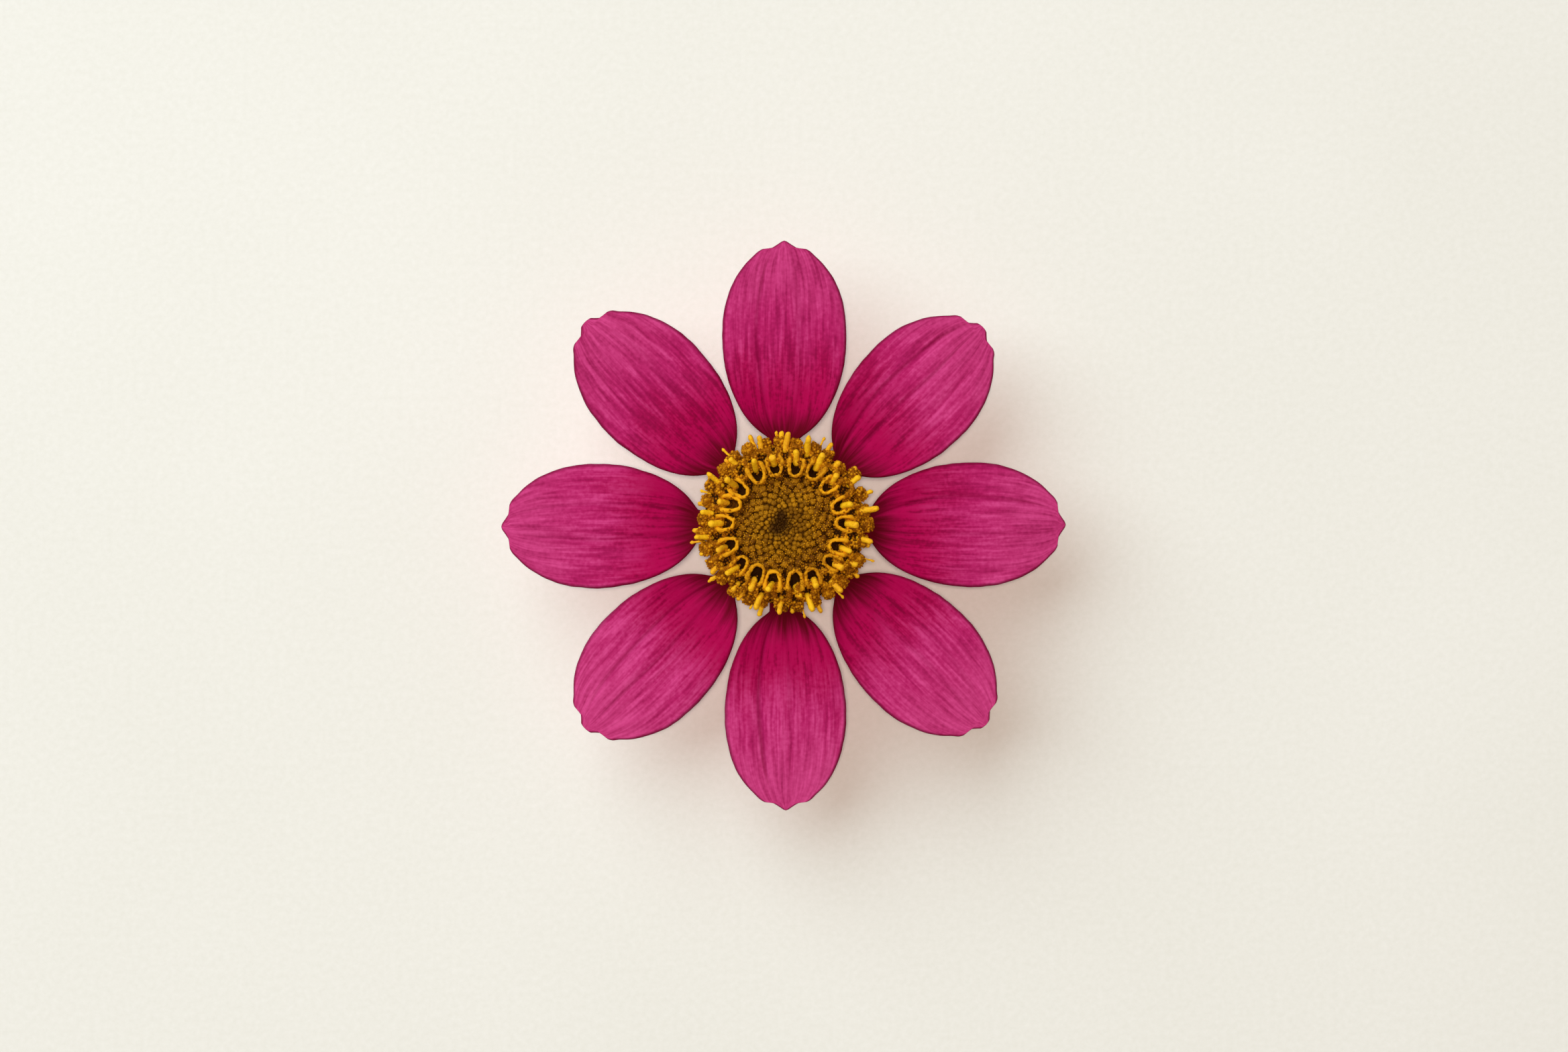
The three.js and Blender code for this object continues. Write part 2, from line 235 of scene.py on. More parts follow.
class Shape(Graph):
    """A Geometry Nodes tree with named inputs: its material, and those listed for each kind of socket."""

    def __init__(self, name, **labels):
        super().__init__(bpy.data.node_groups.new(name, "GeometryNodeTree"))
        sockets = self.tree.interface
        for kind, listed in labels.items():
            socket_type, subtype = SOCKET_KINDS[kind]
            for label in listed.split(", "):
                sockets.new_socket(label, in_out="INPUT", socket_type=socket_type).subtype = subtype
        sockets.new_socket("Material", in_out="INPUT", socket_type="NodeSocketMaterial")
        sockets.new_socket("Geometry", in_out="OUTPUT", socket_type="NodeSocketGeometry")
        self.entry = self.tree.nodes.new("NodeGroupInput")

    index = one_node("GeometryNodeInputIndex")
    position = one_node("GeometryNodeInputPosition")
    attribute = one_node("GeometryNodeInputNamedAttribute", "Name", data_type="FLOAT")
    placed = one_node("GeometryNodeSetPosition", "Geometry", "Position")
    moved = one_node("GeometryNodeSetPosition", "Geometry", "Offset")
    flipped = one_node("GeometryNodeFlipFaces", "Mesh")
    points = one_node("GeometryNodePoints", "Count", "Position")
    real = one_node("GeometryNodeRealizeInstances", "Geometry")

    def given(self, *labels):
        fields = [Field(self, self.entry.outputs[label]) for label in labels]
        return fields if len(fields) > 1 else fields[0]

    def store(self, geometry, domain="POINT", **attributes):
        """Keeps fields as attributes, which materials read."""
        for name, value in attributes.items():
            inputs = {"Geometry": geometry, "Name": name, "Value": value}
            kind = "GeometryNodeStoreNamedAttribute"
            geometry = self.field(kind, inputs, data_type="FLOAT", domain=domain)
        return geometry

    def sheet(self, columns, rows):
        """A flat grid, with the place across it from -1 to 1 and the place along it from 0 to 1."""
        inputs = {"Size X": 2.0, "Size Y": 1.0, "Vertices X": columns + 1, "Vertices Y": rows + 1}
        grid = self.field("GeometryNodeMeshGrid", inputs)
        x, y, _ = self.parts(self.position())
        return grid, x, y + 0.5

    def joined(self, *geometries):
        node = self.tree.nodes.new("GeometryNodeJoinGeometry")
        for geometry in reversed(geometries):
            self.tree.links.new(geometry.socket, node.inputs[0])
        return Field(self, node.outputs[0])

    def merged(self, geometry):
        return self.field("GeometryNodeMergeByDistance", {"Geometry": geometry, "Distance": MERGE_DISTANCE})

    def turned(self, segments, rows, section, **attributes):
        """A closed surface turned about +Z. section(angle, share) gives its radius, its height and how far
        it is pushed along +X. share goes from 0 at the foot of the axis, up the outside, to 1 at the top.
        An attribute is a number, or a rule like section."""
        grid, across, share = self.sheet(segments, rows)
        angle = across * math.pi
        radius, height, push = section(angle, share)
        for name, rule in attributes.items():
            grid = self.store(grid, **{name: rule(angle, share) if callable(rule) else rule})
        x = radius * cos(angle) + push
        y = radius * sin(angle)
        return self.merged(self.placed(grid, self.vector(x, y, height)))

    def roughened(self, geometry, amount, scale):
        """Pushes each point in or out along its normal by up to half of amount."""
        push = (self.noise(self.position(), scale, detail=1.0) - 0.5) * amount
        inputs = {0: self.field("GeometryNodeInputNormal"), "Scale": push}
        return self.moved(geometry, self.field("ShaderNodeVectorMath", inputs, operation="SCALE"))

    def random(self, low, high, seed):
        """A number for each point, between low and high."""
        inputs = {2: low, 3: high, "ID": self.index(), "Seed": seed}
        return self.field("FunctionNodeRandomValue", inputs, output=1, data_type="FLOAT")

    def copies(self, shape, points, turns, scale):
        """A copy of shape on each point, turned by three angles about X, Y and Z in that order."""
        rotation = self.field("FunctionNodeEulerToRotation", {0: self.vector(*turns)})
        inputs = {"Points": points, "Instance": shape, "Rotation": rotation, "Scale": scale}
        return self.field("GeometryNodeInstanceOnPoints", inputs)

    def varied(self, instances, seed):
        """Gives each copy its own number from 0 to 1, which materials read as its grain."""
        return self.store(instances, "INSTANCE", grain=self.random(0.0, 1.0, seed))

    def scattered(self, mesh, spacing, most, density, seed):
        """Points over a mesh, at least spacing apart."""
        inputs = {"Mesh": mesh, "Distance Min": spacing, "Density Max": most, "Density Factor": density}
        kind = "GeometryNodeDistributePointsOnFaces"
        return self.field(kind, {**inputs, "Seed": seed}, output="Points", distribute_method="POISSON")

    def beads(self, mesh, spacing, radius, density, seed, tone):
        """Small round grains over a mesh, where density is above 0, all of one tone: the lightness in which
        the disc's materials paint colour, shade and highlights.
        """
        points = self.scattered(mesh, spacing, MOST_BEADS, density, seed)
        bead = self.field("GeometryNodeMeshIcoSphere", {"Radius": radius, "Subdivisions": 1})
        size = self.random(*BEAD_SIZES, seed)
        beads = self.varied(self.copies(bead, points, (size * 9.0, size * 7.0, 0.0), size), seed)
        return self.store(self.real(beads), tone=tone)

    def finish(self, *geometries):
        """Ends the tree: no instances, smooth faces, and its material on them."""
        solid = self.real(self.joined(*geometries))
        shaded = self.field("GeometryNodeSetShadeSmooth", {"Geometry": solid, "Shade Smooth": True})
        inputs = {"Geometry": shaded, "Material": self.given("Material")}
        painted = self.field("GeometryNodeSetMaterial", inputs)
        output = self.tree.nodes.new("NodeGroupOutput")
        self.tree.links.new(painted.socket, output.inputs[0])
        return self


UNITS = {"": lambda value: value, "mm": lambda value: value * MM, "degrees": math.radians}


def table(heads, rows):
    """The values of each row by name. The heads are the names, some with a unit."""
    columns = [head.partition(":") for head in heads.split()]
    return {
        label: {name: UNITS[unit](value) for (name, _, unit), value in zip(columns, row)}
        for label, row in rows.items()
    }


def added(name, data):
    """A new object in the scene."""
    item = bpy.data.objects.new(name, data)
    bpy.context.scene.collection.objects.link(item)
    return item


def grown(name, shape, slot, replaced=(), **values):
    """A plain mesh piece made by a shape's tree, riding on the body. An input's name is a value's, with its
    first letter large and with spaces."""
    piece = added(name, bpy.data.meshes.new(name))
    modifier = piece.modifiers.new("Shape", "NODES")
    modifier.node_group = shape.tree
    by_label = {label.capitalize().replace("_", " "): value for label, value in values.items()}
    for item in shape.tree.interface.items_tree:
        if item.in_out == "INPUT":
            modifier[item.identifier] = by_label.pop(item.name)
    if by_label:
        raise ValueError(f"{name}: its shape has no inputs {sorted(by_label)}")
    depsgraph = bpy.context.evaluated_depsgraph_get()
    evaluated = piece.evaluated_get(depsgraph)
    mesh = bpy.data.meshes.new_from_object(evaluated, preserve_all_data_layers=True, depsgraph=depsgraph)
    piece.modifiers.clear()
    piece.data = mesh
    mesh.name = name
    if not mesh.polygons:
        raise ValueError(f"{name}: its shape came out empty")
    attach(piece, BODY)
    if replaced:
        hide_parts(*replaced)


# ---- Petals ----

# The claw is the petal's upright foot in the cup; the lamina is its blade.
CLAW_RADIUS = 5.05 * MM
CLAW_ROOT = 8.5 * MM
CLAW_TOP = 10.3 * MM
CLAW_BEND = 1.25 * MM
CLAW_HALF_WIDTH = 1.6 * MM
LAMINA_RADIUS = CLAW_RADIUS + CLAW_BEND
LAMINA_HEIGHT = CLAW_TOP + CLAW_BEND
LAMINA_RISE = 2.1 * MM  # how high the blade would climb if it kept its first slope
CROSS_BOW = -0.012 / MM  # how the lamina is bowed from edge to edge, as one over a radius
NORMAL_LENGTH = 30 * MM  # the outline's radii below are those of a petal of this length
WIDEST = 20.2 * MM
BASE_REACH = 11.2 * MM
SHOULDER = 29.6 * MM
SHOULDER_BUMP = (29.05 * MM, 0.5 * MM, 0.25 * MM)  # place, length and height of the swelling by the nub
NUB_START = (29.13 * MM, 29.33 * MM)  # where the blade gives way to the nub
NUB_DEPTH = 0.9 * MM
NUB_ROUNDING = 0.14 * MM
NUB_HALF_WIDTH = 0.18 * MM
MOST_BLUNT = 0.45 * MM
WAVES_START = (10 * MM, 16 * MM)  # where the outline's waves begin and are full
WAVES_END = (0.5 * MM, 1.6 * MM)  # from the tip
WAVE_DEPTH = 0.22 * MM
FRILL_DEPTH = 0.1 * MM
FOLD_ZONE = (8 * MM, 13 * MM, 25 * MM, 29.6 * MM)  # where folds and creases start, are full, fade and end
VEINS_START = (6 * MM, 9 * MM)
VEINS_END = (29.9 * MM, 29.3 * MM)
RIM_REACH = 0.3 * MM  # how far in from its edge the blade thins
FOLDS = 7.85  # turn of the blade's broad folds from its middle to its edge, in radians
FOLD_HEIGHT = 0.04 * MM
SWAY_HEIGHT = 0.36 * MM
RIB_HEIGHT = 0.12 * MM
CREASE_DRIFT = 0.14  # how far a crease strays; this and the widths are in half widths of the blade
CREASE_WIDTH = 0.035
GROOVE_WIDTH = 0.14  # of the shallow groove that each crease lies in
PETAL_COLUMNS = 110
PETAL_ROWS = 170
CLAW_SHARE = 0.05  # of the rows
BEND_SHARE = 0.05
TIP_CROWDING = 1.7

# How each petal creased as it opened: two places across it, from -1 to 1, and their depths. Then how blunt
# its tip is, the seed of its veins, and how much paler they are than on most petals.
PETAL_HEADS = "first_crease first_depth:mm second_crease second_depth:mm blunt:mm seed pallor"
PETAL_LOOKS = {
    "petal_1": (0.42, 0.22, -0.15, 0.06, 0.05, 1.0, -0.02),
    "petal_2": (0.44, 0.26, 0.03, 0.16, 0.42, 2.3, 0.02),
    "petal_3": (0.43, 0.2, -0.27, 0.07, 0.0, 3.1, -0.04),
    "petal_4": (-0.3, 0.1, 0.25, 0.08, 0.45, 4.7, -0.05),
    "petal_5": (0.2, 0.1, -0.35, 0.08, 0.08, 5.2, 0.02),
    "petal_6": (-0.37, 0.2, 0.06, 0.14, 0.45, 6.9, 0.08),
    "petal_7": (-0.41, 0.3, 0.1, 0.05, 0.0, 7.4, 0.06),
    "petal_8": (0.0, 0.12, 0.35, 0.08, 0.4, 8.8, 0.02),
}


class ZinniaPetals(bpy.types.PropertyGroup):
    """Sizes and colours of the petals"""

    thickness: length_setting("Thickness", "Of the blade", 0.4 * MM)
    vein_relief: length_setting("Vein relief", "How far veins rise", 0.02 * MM)
    rose: colour_setting("Rose", "Middle of the blade", 182, 32, 99)
    tip: colour_setting("Tip", "Outer end of the blade", 190, 51, 112)
    base: colour_setting("Base", "Near the disc", 170, 0, 72)
    # painted shade: darkens the blade under the florets and along its edge; the dark veins near the base
    # use this colour too
    throat_shade: colour_setting("Throat", "Under the florets, and the edge", 94, 0, 20)
    streak: colour_setting("Streaks", "Pale veins", 220, 76, 142)
    # painted shade in the creases; also the petals' own dark veins
    shade: colour_setting("Shade", "Creases and dark veins", 132, 0, 58)
    underside: colour_setting("Underside", "Back of the blade", 206, 120, 158)


def petal_outline(shape, place, across):
    """Half the petal's width, where place is a distance from the axis on a petal of normal length."""
    half_width, blunt, seed = shape.given("Half width", "Blunt", "Seed")
    inward = clamp((WIDEST - place) / BASE_REACH)
    base = (half_width * half_width * (1.0 - inward * inward)) ** 2.0
    inner = (base + CLAW_HALF_WIDTH**4) ** 0.25
    outward = clamp((place - WIDEST) / (SHOULDER - WIDEST))
    body = half_width * arc(outward)
    bump_place, bump_length, bump_height = SHOULDER_BUMP
    body = body + bell(place, bump_place, bump_length) * (blunt * 0.35 + bump_height)
    body = body * smooth(place, NUB_START[1], NUB_START[0])
    depth = clamp(NORMAL_LENGTH - MERGE_DISTANCE - place, 0.0, NUB_DEPTH)
    taper = (depth * 1.3 + depth * depth * (0.3 / MM)) * (1.0 - blunt / MOST_BLUNT * 0.33)
    nub = taper + blunt + NUB_HALF_WIDTH
    nub = nub * arc(1.0 - clamp(depth / NUB_ROUNDING))
    is_outer = shape.math("GREATER_THAN", place, WIDEST)
    width = blend(is_outer, inner, shape.math("MAXIMUM", body, nub))
    side = shape.math("SIGN", across) * 3.0
    wave = shape.sway(place * (0.22 / MM), side, seed)
    frill = shape.sway(place * (0.9 / MM), side, seed, detail=0.0)
    wavy = smooth(place, *WAVES_START) * smooth(NORMAL_LENGTH - place, *WAVES_END)
    return width + (wave * WAVE_DEPTH + frill * FRILL_DEPTH) * wavy


def petal_shape():
    shape = Shape(
        "Petal",
        angle="Heading",
        length="Length, Half width, Tip height, Thickness, Blunt, First depth, Second depth, Vein relief",
        number="First crease, Second crease, Pallor, Seed",
    )
    length, half_width, tip_height = shape.given("Length", "Half width", "Tip height")
    thickness, seed = shape.given("Thickness", "Seed")
    grid, across, share = shape.sheet(PETAL_COLUMNS, PETAL_ROWS)

    claw = clamp(share / CLAW_SHARE)
    bend = clamp((share - CLAW_SHARE) / BEND_SHARE)
    lamina = clamp((share - CLAW_SHARE - BEND_SHARE) / (1 - CLAW_SHARE - BEND_SHARE))
    out = 1.0 - (1.0 - lamina) ** TIP_CROWDING
    span = length - LAMINA_RADIUS
    fall = LAMINA_RISE - (tip_height - LAMINA_HEIGHT)
    angle = bend * (math.pi / 2)
    radius = LAMINA_RADIUS - cos(angle) * CLAW_BEND + out * span
    rise = claw * (CLAW_TOP - CLAW_ROOT) + sin(angle) * CLAW_BEND
    height = rise + CLAW_ROOT + out * LAMINA_RISE - fall * out * out
    slope = shape.math("ARCTANGENT", (LAMINA_RISE - fall * out * 2.0) / span)
    pitch = blend(bend, math.pi / 2, slope)

    place = radius * (NORMAL_LENGTH / length)
    half = petal_outline(shape, place, across)
    sideways = across * half
    edge = (1.0 - unsigned(across)) * half

    folded = between(place, *FOLD_ZONE)
    fold = cos(across * FOLDS) * FOLD_HEIGHT
    sway = shape.sway(across * 2.2, place * (0.07 / MM), seed) * SWAY_HEIGHT
    crease = 0.0
    groove = 0.0
    for which in ("First", "Second"):
        centre, depth = shape.given(f"{which} crease", f"{which} depth")
        drift = shape.sway(place * (0.12 / MM), centre, seed, detail=0.0) * CREASE_DRIFT
        crease = bell(across - drift, centre, CREASE_WIDTH) * depth * 0.6 + crease
        groove = bell(across - drift, centre, GROOVE_WIDTH) * depth * 0.28 + groove
    ribs = shape.sway(across * 7.0, place * (0.1 / MM), seed + 11.0) * RIB_HEIGHT
    veins = shape.sway(across * 30.0, place * (0.16 / MM), seed + 23.0, detail=1.5)
    veins = veins * shape.given("Vein relief") * 2.0
    veins = veins * smooth(place, *VEINS_START) * smooth(place, *VEINS_END)
    relief = (fold + sway + ribs - groove - crease) * folded + veins

    around = root(smooth(radius, CLAW_RADIUS, WIDEST))
    bow = blend(around, 1 / CLAW_RADIUS, CROSS_BOW)
    middle = bow * sideways * sideways * 0.5 + relief

    rim = arc(1.0 - clamp((edge - MERGE_DISTANCE) / RIM_REACH))
    foot = root(clamp(share / (0.5 * CLAW_SHARE)))
    half_thick = thickness * 0.5 * rim * foot

    grid = shape.store(
        grid,
        across=across * (half / half_width * 0.5 + 0.5),
        reach=place,
        edge=edge,
        crease=crease * folded,
        pallor=shape.given("Pallor"),
        seed=seed,
    )
    sin_pitch = sin(pitch)
    cos_pitch = cos(pitch)
    sin_heading = sin(shape.given("Heading"))
    cos_heading = cos(shape.given("Heading"))

    def skin(lift):
        x = radius - lift * sin_pitch
        z = height + lift * cos_pitch
        turned_x = x * cos_heading - sideways * sin_heading
        turned_y = x * sin_heading + sideways * cos_heading
        return shape.placed(grid, shape.vector(turned_x, turned_y, z))

    top = shape.store(shape.flipped(skin(middle + half_thick)), "FACE", under=0.0)
    under = shape.store(skin(middle - half_thick), "FACE", under=1.0)
    return shape.finish(shape.merged(shape.joined(top, under)))


def petal_form(node):
    """Heading, length, half width and tip height of a petal's solid."""
    points = [vertex.co.copy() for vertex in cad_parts[node].data.vertices]
    length = max(point.xy.length for point in points)
    ends = [point for point in points if point.xy.length > length - 0.1 * MM]
    tip = sum(ends[1:], ends[0]) / len(ends)
    heading = math.atan2(tip.y, tip.x)
    half_width = max(abs(point.y * math.cos(heading) - point.x * math.sin(heading)) for point in points)
    return {"heading": heading, "length": tip.xy.length, "half_width": half_width, "tip_height": tip.z}


class ZINNIA_OT_petals(bpy.types.Operator):
    """Make the eight petals, each in place of its solid"""

    bl_idname = "zinnia.petals"
    bl_label = "Petals"

    def execute(self, context):
        settings = context.scene.zinnia_petals
        shape = petal_shape()
        sizes = {"thickness": settings.thickness, "vein_relief": settings.vein_relief}
        sizes["material"] = petal_material(settings)
        for node, looks in table(PETAL_HEADS, PETAL_LOOKS).items():
            grown(f"blade_of_{node}", shape, "petal", [node], **petal_form(node), **looks, **sizes)
        return {"FINISHED"}


# ---- Disc: buds in the middle, open florets round them ----

FIELD_RADIUS = 5.15 * MM
FIELD_EDGE = 13.9 * MM  # height of the bud field at its edge
FIELD_TOP = 15.3 * MM
FIELD_BASE = 13.3 * MM
DIMPLE_DEPTH = 0.35 * MM
DIMPLE_RADIUS = 0.9 * MM
BUD_DEPTH = 0.25 * MM  # how far under the buds' own surface their dome is
BUD_STRAY = 0.2 * MM
HEART_PLACE = (0.35 * MM, -0.15 * MM)  # the dark middle of the buds, measured back to the axis
HEART_TURN = math.radians(60)
BUD_SEED = 5
BUD_BEAD = 0.62  # radius of the buds' grains, as a share of that of the florets'
FLORET_SEED = 12
RING_SEEDS = 20  # from one ring's seed to the next one's
RING_SCATTER = 0.12  # how far a floret or rod strays along its ring, as a share of the step
FLORET_FOOT = 0.35 * MM  # radius of the foot that a floret stands on
FLARE = 0.3 * MM  # how far a gaping mouth opens outwards
LOBES = 5.0  # of a floret, and of a bud
PIT_DEPTH = 1.1 * MM
OUTER_SHARE = 0.4  # of a floret's rows, from its foot to its rim
RIM_SHARE = 0.3
# The body under the florets: radii and heights (mm), from the foot of its neck to the floor of the bowl
DISC_BODY = (
    *((0.0, 8.2), (4.4, 8.2), (4.4, 10.3), (4.75, 11.85), (6.3, 12.5), (7.9, 12.75), (8.4, 13.15)),
    *((8.1, 13.75), (7.2, 14.1), (6.2, 13.95), (5.4, 13.9), (5.0, 13.6), (4.9, 13.0), (0.0, 13.0)),
)


class ZinniaDisc(bpy.types.PropertyGroup):
    """Sizes and colours of the disc"""

    bud_count: bpy.props.IntProperty(name="Buds", description="How many", default=320, min=20, max=1500)
    bud_crowding: bpy.props.FloatProperty(
        name="Crowding", description="How much smaller the middle buds are", default=1.2, min=0.5, max=1.5
    )
    bead: length_setting("Grain", "Radius of the grains", 0.14 * MM)
    # also painted highlights on the buds' tops
    gold: colour_setting("Gold", "Rims of the florets", 236, 162, 20)
    # brown walls: partly painted shade below the rims
    brown_gold: colour_setting("Brown gold", "Walls of the florets", 154, 88, 6)
    # painted shade in the florets' pits and between the buds; also the buds' own dark heart
    shade_and_heart: colour_setting("Pit", "Depths of the florets", 50, 24, 2)
    anther: colour_setting("Anthers", "Rods in the mouths", 250, 190, 18)
    bud: colour_setting("Buds", "Unopened florets", 118, 73, 5)
    bud_rim: colour_setting("Outer buds", "Buds near the florets", 105, 60, 8)


def field_height(radius):
    """Height of the bud field at a radius: a low dome with a dimple in its centre."""
    share = radius / FIELD_RADIUS
    dome = (1.0 - share * share) * (FIELD_TOP - FIELD_EDGE) + FIELD_EDGE
    return dome - bell(radius, 0.0, DIMPLE_RADIUS) * DIMPLE_DEPTH


def bud_shape():
    """Closed buds in a golden-angle spiral on the dome that they grow from, larger towards its edge."""
    shape = Shape("Bud field", count="Count", number="Crowding", length="Bead")
    count, crowding, bead = shape.given("Count", "Crowding", "Bead")

    def dome_section(angle, share):
        radius = clamp(share * 4.0) - clamp(share * 4.0 - 1.0, 0.0, 3.0) / 3.0
        radius = radius * FIELD_RADIUS
        height = field_height(radius) - BUD_DEPTH
        is_base = shape.math("LESS_THAN", share, 0.26)
        return radius, blend(is_base, height, FIELD_BASE), 0.0

    # the dome between the buds gets the darkest tone: painted shade
    dome = shape.turned(64, 40, dome_section, tone=0.0)

    def bud_section(angle, share):
        turn = share * math.pi
        lobes = 1.0 + cos(angle * LOBES) * 0.12 * share
        top = sin(turn) * lobes
        dent = bell(top, 0.0, 0.35) * smooth(share, 0.6, 1.0) * 0.28
        return top * MM, (cos(turn) * -1.15 - dent) * MM, 0.0

    # each bud darker low down and lighter on top: painted shade and painted highlight
    bud = shape.turned(10, 5, bud_section, tone=lambda angle, share: smooth(share, 0.25, 0.85))
    index = shape.index()
    order = (index + 0.5) / count
    jitter = shape.random(-0.5, 0.5, BUD_SEED)
    stray = shape.random(-0.5, 0.5, BUD_SEED + 2) * clamp(order * 5.0)
    radius = order**crowding * (FIELD_RADIUS - 0.05 * MM) + stray * BUD_STRAY
    heading = index * GOLDEN_ANGLE + jitter * 0.06 / (order + 0.15)
    pitch_area = order ** (crowding * 2.0 - 1.0) * crowding * (TURN * FIELD_RADIUS**2) / count
    size = root(pitch_area) * (0.64 + jitter * 0.14)
    height = field_height(radius) + size * 0.1 + jitter * (0.12 * MM)
    lean = radius * (2 * (FIELD_TOP - FIELD_EDGE) / FIELD_RADIUS**2)
    points = shape.points(count, shape.polar(radius, heading, height))
    buds = shape.varied(shape.copies(bud, points, (0.0, lean, heading), size / MM), BUD_SEED + 1)
    buds = shape.roughened(shape.real(buds), 0.08 * MM, 4.5 / MM)
    x, y, _ = shape.parts(shape.position())
    outer = smooth(root(x * x + y * y), 1.8 * MM, 3.6 * MM)
    top = smooth(shape.attribute("tone"), 0.3, 0.7)
    # the grains on the buds' tops get the lightest tone: painted highlights
    grains = shape.beads(buds, bead * 2.3, bead, top * outer, BUD_SEED, tone=1.3)
    return shape.finish(dome, buds, grains)


def body_shape():
    """The turned body that the florets stand on, lumpy and grown with grains round them."""
    shape = Shape("Disc body", length="Bead", count="Seed")
    bead, seed = shape.given("Bead", "Seed")
    steps = len(DISC_BODY) - 1

    def section(angle, share):
        step = share * steps
        radius = 0.0
        height = DISC_BODY[0][1] * MM
        for number, (start, end) in enumerate(zip(DISC_BODY, DISC_BODY[1:])):
            part = clamp(step - float(number))
            radius = part * ((end[0] - start[0]) * MM) + radius
            height = part * ((end[1] - start[1]) * MM) + height
        return radius, height, 0.0

    def brim(angle, share):
        """1 on the outside of the brim and on its top, 0 below it and in the bowl."""
        return between(share * steps, 3.6, 4.2, 11.0, 11.6)

    # the body, seen between the florets, is dark: painted shade
    body = shape.turned(160, 8 * steps, section, brim=brim, tone=0.15)
    body = shape.roughened(body, 0.7 * MM, 0.9 / MM)
    beads = shape.beads(body, bead * 1.7, bead, shape.attribute("brim"), seed, tone=0.5)
    return shape.finish(body, beads)


def ring(shape, stray, lean_seed):
    """The feet of a ring of pieces, and the heading and lean of each."""
    count, phase, scatter, seed = shape.given("Count", "Phase", "Scatter", "Seed")
    heading = (shape.index() + phase + shape.random(-1.0, 1.0, seed) * scatter) * TURN / count
    radius = shape.given("Foot radius") + shape.random(-1.0, 1.0, seed + 1.0) * stray
    points = shape.points(count, shape.polar(radius, heading, shape.given("Foot height")))
    lean = shape.given("Lean") + shape.random(-1.0, 1.0, seed + lean_seed) * shape.given("Lean spread")
    return points, heading, lean


def floret_shape():
    """A ring of open florets: each a cup whose rim is open on its outer side, with grains on it."""
    shape = Shape(
        "Open florets",
        count="Count, Seed",
        angle="Lean, Lean spread",
        length="Foot radius, Foot height, Tall, Mouth, Wall, Stretch, Bead",
        number="Phase, Scatter, Gape, Lobing, Graininess",
    )
    tall, mouth, wall, gape, lobing = shape.given("Tall", "Mouth", "Wall", "Gape", "Lobing")

    def section(angle, share):
        outside = unsigned(angle)
        opening = smooth(outside, 0.8, 0.4) * gape
        knob = bell(outside, 1.0, 0.34) * gape
        lobes = 1.0 - cos(angle * LOBES) * lobing
        flare = smooth(outside, 1.7, 0.9) * gape * FLARE
        middle = mouth * lobes + flare
        thick = wall * (1.0 + knob * 0.55 - opening * 0.45)
        rise = clamp(share / OUTER_SHARE)
        over = clamp((share - OUTER_SHARE) / RIM_SHARE) * math.pi
        fall = clamp((share - OUTER_SHARE - RIM_SHARE) / (1 - OUTER_SHARE - RIM_SHARE))
        top = tall + (knob * (0.1 * MM) - opening * tall * 0.35) * (1.0 - fall * fall)
        first_row = clamp(1.0 - share * 40.0)
        foot = (1.0 - rise) ** 1.6 * (middle + thick - FLORET_FOOT) + first_row * FLORET_FOOT
        radius = middle + thick * cos(over) - foot - (middle - thick) * fall * fall * fall
        height = top * rise + thick * sin(over)
        depth = 1.0 - (1.0 - fall) * (1.0 - fall)
        height = height - depth * PIT_DEPTH - first_row * (0.1 * MM)
        push = clamp(cos(angle)) * rise * (1.0 - fall * fall * fall) * shape.given("Stretch")
        return radius, height, push

    def cover(angle, share):
        """1 on the outside and the rim, 0 in the pit, where painted shade goes."""
        return smooth(share, 0.86, OUTER_SHARE + RIM_SHARE * 0.8)

    # painted shade: dark at the floret's foot and in its pit, lighter up the outside and on the rim
    def tone(angle, share):
        return smooth(share, 0.05, OUTER_SHARE) * cover(angle, share)

    cup = shape.turned(44, 26, section, tone=tone, cover=cover)
    seed = shape.given("Seed")
    points, heading, lean = ring(shape, 0.16 * MM, lean_seed=2)
    twist = shape.random(-0.25, 0.25, seed + 3)
    size = shape.random(0.9, 1.08, seed + 4)
    florets = shape.copies(cup, points, (twist * 0.4, lean, heading + twist), size)
    florets = shape.varied(florets, seed + 5)
    florets = shape.roughened(shape.real(florets), 0.34 * MM, 2.4 / MM)
    florets = shape.roughened(florets, 0.16 * MM, 5.5 / MM)
    bead, graininess = shape.given("Bead", "Graininess")
    density = smooth(shape.attribute("cover"), 0.85, 1.0) * graininess
    beads = shape.beads(florets, bead * 1.45, bead, density, seed, tone=0.56)
    # the floret's surface under its grains is darkened: painted shade between the grains
    florets = shape.store(florets, tone=shape.attribute("tone") * (1.0 - graininess * 0.5))
    return shape.finish(florets, beads)


